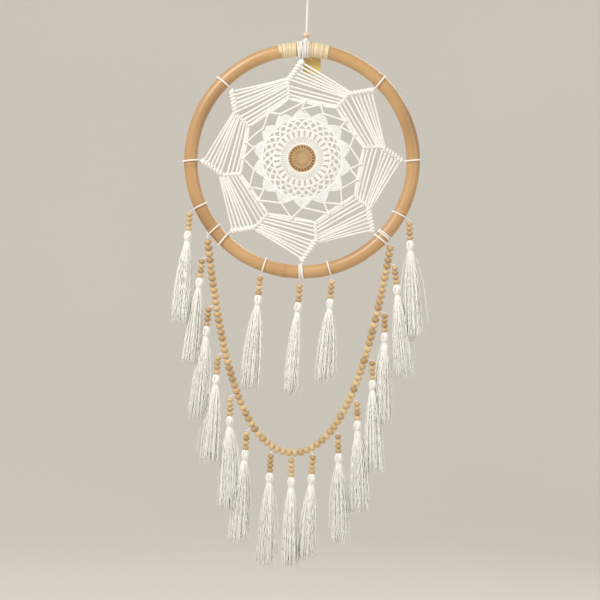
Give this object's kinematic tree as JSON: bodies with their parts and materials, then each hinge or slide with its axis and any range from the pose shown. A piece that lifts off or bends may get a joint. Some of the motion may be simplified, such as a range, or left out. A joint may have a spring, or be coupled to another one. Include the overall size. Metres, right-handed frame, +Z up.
{
  "type": "dream catcher",
  "caption": "Rattan-hoop dream catcher with a knotted cotton web, a crochet doily, a beaded garland and cotton tassels, hung from one cord.",
  "frame": {"origin": "where the hanging loop sits on its nail, at the top inside of the loop", "axes": "+Z up along the hanging cord, +X to the right seen from the front, front faces -Y"},
  "size_m": [0.4194, 0.0326, 1.001],
  "materials": {
    "rattan": "varnished rattan pole",
    "peel": "split rattan peel",
    "brad_steel": "plain",
    "hanging_cotton": "twisted cotton cord",
    "web_cotton": "twisted cotton cord",
    "bead_wood": "turned and waxed",
    "pale_bead_wood": "turned, unstained",
    "tag_card": "plain card",
    "tag_string": "twisted thread",
    "jute": "crochet jute",
    "cream_yarn": "crochet cotton",
    "white_yarn": "crochet cotton",
    "tassel_cotton": "loose cotton thread"
  },
  "bodies": {
    "loop": {"hanging_loop": "hanging_cotton"},
    "knot": {"hanging_knot": "hanging_cotton"},
    "cord": {"hanging_cord": "hanging_cotton"},
    "cord_bead": {"hanging_bead": "pale_bead_wood"},
    "hoop": {"rattan_hoop": "rattan", "joint_brads": "brad_steel", "binding_left": "peel", "binding_right": "peel", "top_wraps": "web_cotton", "tag_thread": "tag_string", "anchor_loops": "web_cotton", "web_spines": "web_cotton", "web_strands": "web_cotton", "ring_cords": "web_cotton", "lacing": "web_cotton", "doily_centre": "jute", "doily_rounds": "cream_yarn", "doily_net": "cream_yarn", "doily_edging": "white_yarn", "garland_ties": "web_cotton", "tassel_ties": "web_cotton"},
    "tag": {"paper_tag": "tag_card"},
    "garland": {"garland_cord": "web_cotton", "garland_beads": "bead_wood"},
    "tassel_left": {"tassel_left_beads": "bead_wood", "tassel_left_cotton": "tassel_cotton"},
    "tassel_bottom_left": {"tassel_bottom_left_beads": "bead_wood", "tassel_bottom_left_cotton": "tassel_cotton"},
    "tassel_bottom_middle": {"tassel_bottom_middle_beads": "bead_wood", "tassel_bottom_middle_cotton": "tassel_cotton"},
    "tassel_bottom_right": {"tassel_bottom_right_beads": "bead_wood", "tassel_bottom_right_cotton": "tassel_cotton"},
    "tassel_right": {"tassel_right_beads": "bead_wood", "tassel_right_cotton": "tassel_cotton"},
    "garland_tassel_01": {"garland_tassel_01_beads": "bead_wood", "garland_tassel_01_cotton": "tassel_cotton"},
    "garland_tassel_02": {"garland_tassel_02_beads": "bead_wood", "garland_tassel_02_cotton": "tassel_cotton"},
    "garland_tassel_03": {"garland_tassel_03_beads": "bead_wood", "garland_tassel_03_cotton": "tassel_cotton"},
    "garland_tassel_04": {"garland_tassel_04_beads": "bead_wood", "garland_tassel_04_cotton": "tassel_cotton"},
    "garland_tassel_05": {"garland_tassel_05_beads": "bead_wood", "garland_tassel_05_cotton": "tassel_cotton"},
    "garland_tassel_06": {"garland_tassel_06_beads": "bead_wood", "garland_tassel_06_cotton": "tassel_cotton"},
    "garland_tassel_07": {"garland_tassel_07_beads": "bead_wood", "garland_tassel_07_cotton": "tassel_cotton"},
    "garland_tassel_08": {"garland_tassel_08_beads": "bead_wood", "garland_tassel_08_cotton": "tassel_cotton"},
    "garland_tassel_09": {"garland_tassel_09_beads": "bead_wood", "garland_tassel_09_cotton": "tassel_cotton"},
    "garland_tassel_10": {"garland_tassel_10_beads": "bead_wood", "garland_tassel_10_cotton": "tassel_cotton"},
    "garland_tassel_11": {"garland_tassel_11_beads": "bead_wood", "garland_tassel_11_cotton": "tassel_cotton"},
    "garland_tassel_12": {"garland_tassel_12_beads": "bead_wood", "garland_tassel_12_cotton": "tassel_cotton"},
    "garland_tassel_13": {"garland_tassel_13_beads": "bead_wood", "garland_tassel_13_cotton": "tassel_cotton"}
  },
  "joints": [
    {"name": "swing_front_back", "type": "hinge", "parent": "loop", "child": "knot", "pos_m": [0, 0, -0.029], "axis": [1, 0, 0], "range_deg": [-20, 20]},
    {"name": "sway_side", "type": "hinge", "parent": "knot", "child": "cord", "pos_m": [0, 0, -0.029], "axis": [0, 1, 0], "range_deg": [-20, 20]},
    {"name": "twist", "type": "hinge", "parent": "cord", "child": "hoop", "pos_m": [0, 0, -0.102], "axis": [0, 0, 1], "range_deg": [-180, 180]},
    {"name": "bead_slide", "type": "slide", "parent": "cord", "child": "cord_bead", "axis": [0, 0, 1], "range_m": [0, 0.05]},
    {"name": "tag_swing", "type": "hinge", "parent": "hoop", "child": "tag", "pos_m": [0.009, 0.01131, -0.13601], "axis": [1, 0, 0], "range_deg": [-8, 30]},
    {"name": "garland_swing", "type": "hinge", "parent": "hoop", "child": "garland", "pos_m": [0, 0, -0.44116], "axis": [1, 0, 0], "range_deg": [-30, 30]},
    {"name": "tassel_left_swing", "type": "hinge", "parent": "hoop", "child": "tassel_left", "pos_m": [-0.1834, 0, -0.39945], "axis": [1, 0, 0], "range_deg": [-30, 30]},
    {"name": "tassel_bottom_left_swing", "type": "hinge", "parent": "hoop", "child": "tassel_bottom_left", "pos_m": [-0.06305, 0, -0.50406], "axis": [1, 0, 0], "range_deg": [-30, 30]},
    {"name": "tassel_bottom_middle_swing", "type": "hinge", "parent": "hoop", "child": "tassel_bottom_middle", "pos_m": [0.00356, 0, -0.51402], "axis": [1, 0, 0], "range_deg": [-30, 30]},
    {"name": "tassel_bottom_right_swing", "type": "hinge", "parent": "hoop", "child": "tassel_bottom_right", "pos_m": [0.05624, 0, -0.50614], "axis": [1, 0, 0], "range_deg": [-30, 30]},
    {"name": "tassel_right_swing", "type": "hinge", "parent": "hoop", "child": "tassel_right", "pos_m": [0.18181, 0, -0.40264], "axis": [1, 0, 0], "range_deg": [-30, 30]},
    {"name": "garland_tassel_01_swing", "type": "hinge", "parent": "garland", "child": "garland_tassel_01", "pos_m": [-0.15083, 0, -0.47851], "axis": [1, 0, 0], "range_deg": [-30, 30]},
    {"name": "garland_tassel_02_swing", "type": "hinge", "parent": "garland", "child": "garland_tassel_02", "pos_m": [-0.13674, 0, -0.55969], "axis": [1, 0, 0], "range_deg": [-30, 30]},
    {"name": "garland_tassel_03_swing", "type": "hinge", "parent": "garland", "child": "garland_tassel_03", "pos_m": [-0.11829, 0, -0.63998], "axis": [1, 0, 0], "range_deg": [-30, 30]},
    {"name": "garland_tassel_04_swing", "type": "hinge", "parent": "garland", "child": "garland_tassel_04", "pos_m": [-0.09573, 0, -0.70842], "axis": [1, 0, 0], "range_deg": [-30, 30]},
    {"name": "garland_tassel_05_swing", "type": "hinge", "parent": "garland", "child": "garland_tassel_05", "pos_m": [-0.06692, 0, -0.76294], "axis": [1, 0, 0], "range_deg": [-30, 30]},
    {"name": "garland_tassel_06_swing", "type": "hinge", "parent": "garland", "child": "garland_tassel_06", "pos_m": [-0.02963, 0, -0.79777], "axis": [1, 0, 0], "range_deg": [-30, 30]},
    {"name": "garland_tassel_07_swing", "type": "hinge", "parent": "garland", "child": "garland_tassel_07", "pos_m": [0, 0, -0.80541], "axis": [1, 0, 0], "range_deg": [-30, 30]},
    {"name": "garland_tassel_08_swing", "type": "hinge", "parent": "garland", "child": "garland_tassel_08", "pos_m": [0.02963, 0, -0.79777], "axis": [1, 0, 0], "range_deg": [-30, 30]},
    {"name": "garland_tassel_09_swing", "type": "hinge", "parent": "garland", "child": "garland_tassel_09", "pos_m": [0.06692, 0, -0.76294], "axis": [1, 0, 0], "range_deg": [-30, 30]},
    {"name": "garland_tassel_10_swing", "type": "hinge", "parent": "garland", "child": "garland_tassel_10", "pos_m": [0.09573, 0, -0.70842], "axis": [1, 0, 0], "range_deg": [-30, 30]},
    {"name": "garland_tassel_11_swing", "type": "hinge", "parent": "garland", "child": "garland_tassel_11", "pos_m": [0.11829, 0, -0.63998], "axis": [1, 0, 0], "range_deg": [-30, 30]},
    {"name": "garland_tassel_12_swing", "type": "hinge", "parent": "garland", "child": "garland_tassel_12", "pos_m": [0.13674, 0, -0.55969], "axis": [1, 0, 0], "range_deg": [-30, 30]},
    {"name": "garland_tassel_13_swing", "type": "hinge", "parent": "garland", "child": "garland_tassel_13", "pos_m": [0.15083, 0, -0.47851], "axis": [1, 0, 0], "range_deg": [-30, 30]}
  ]
}
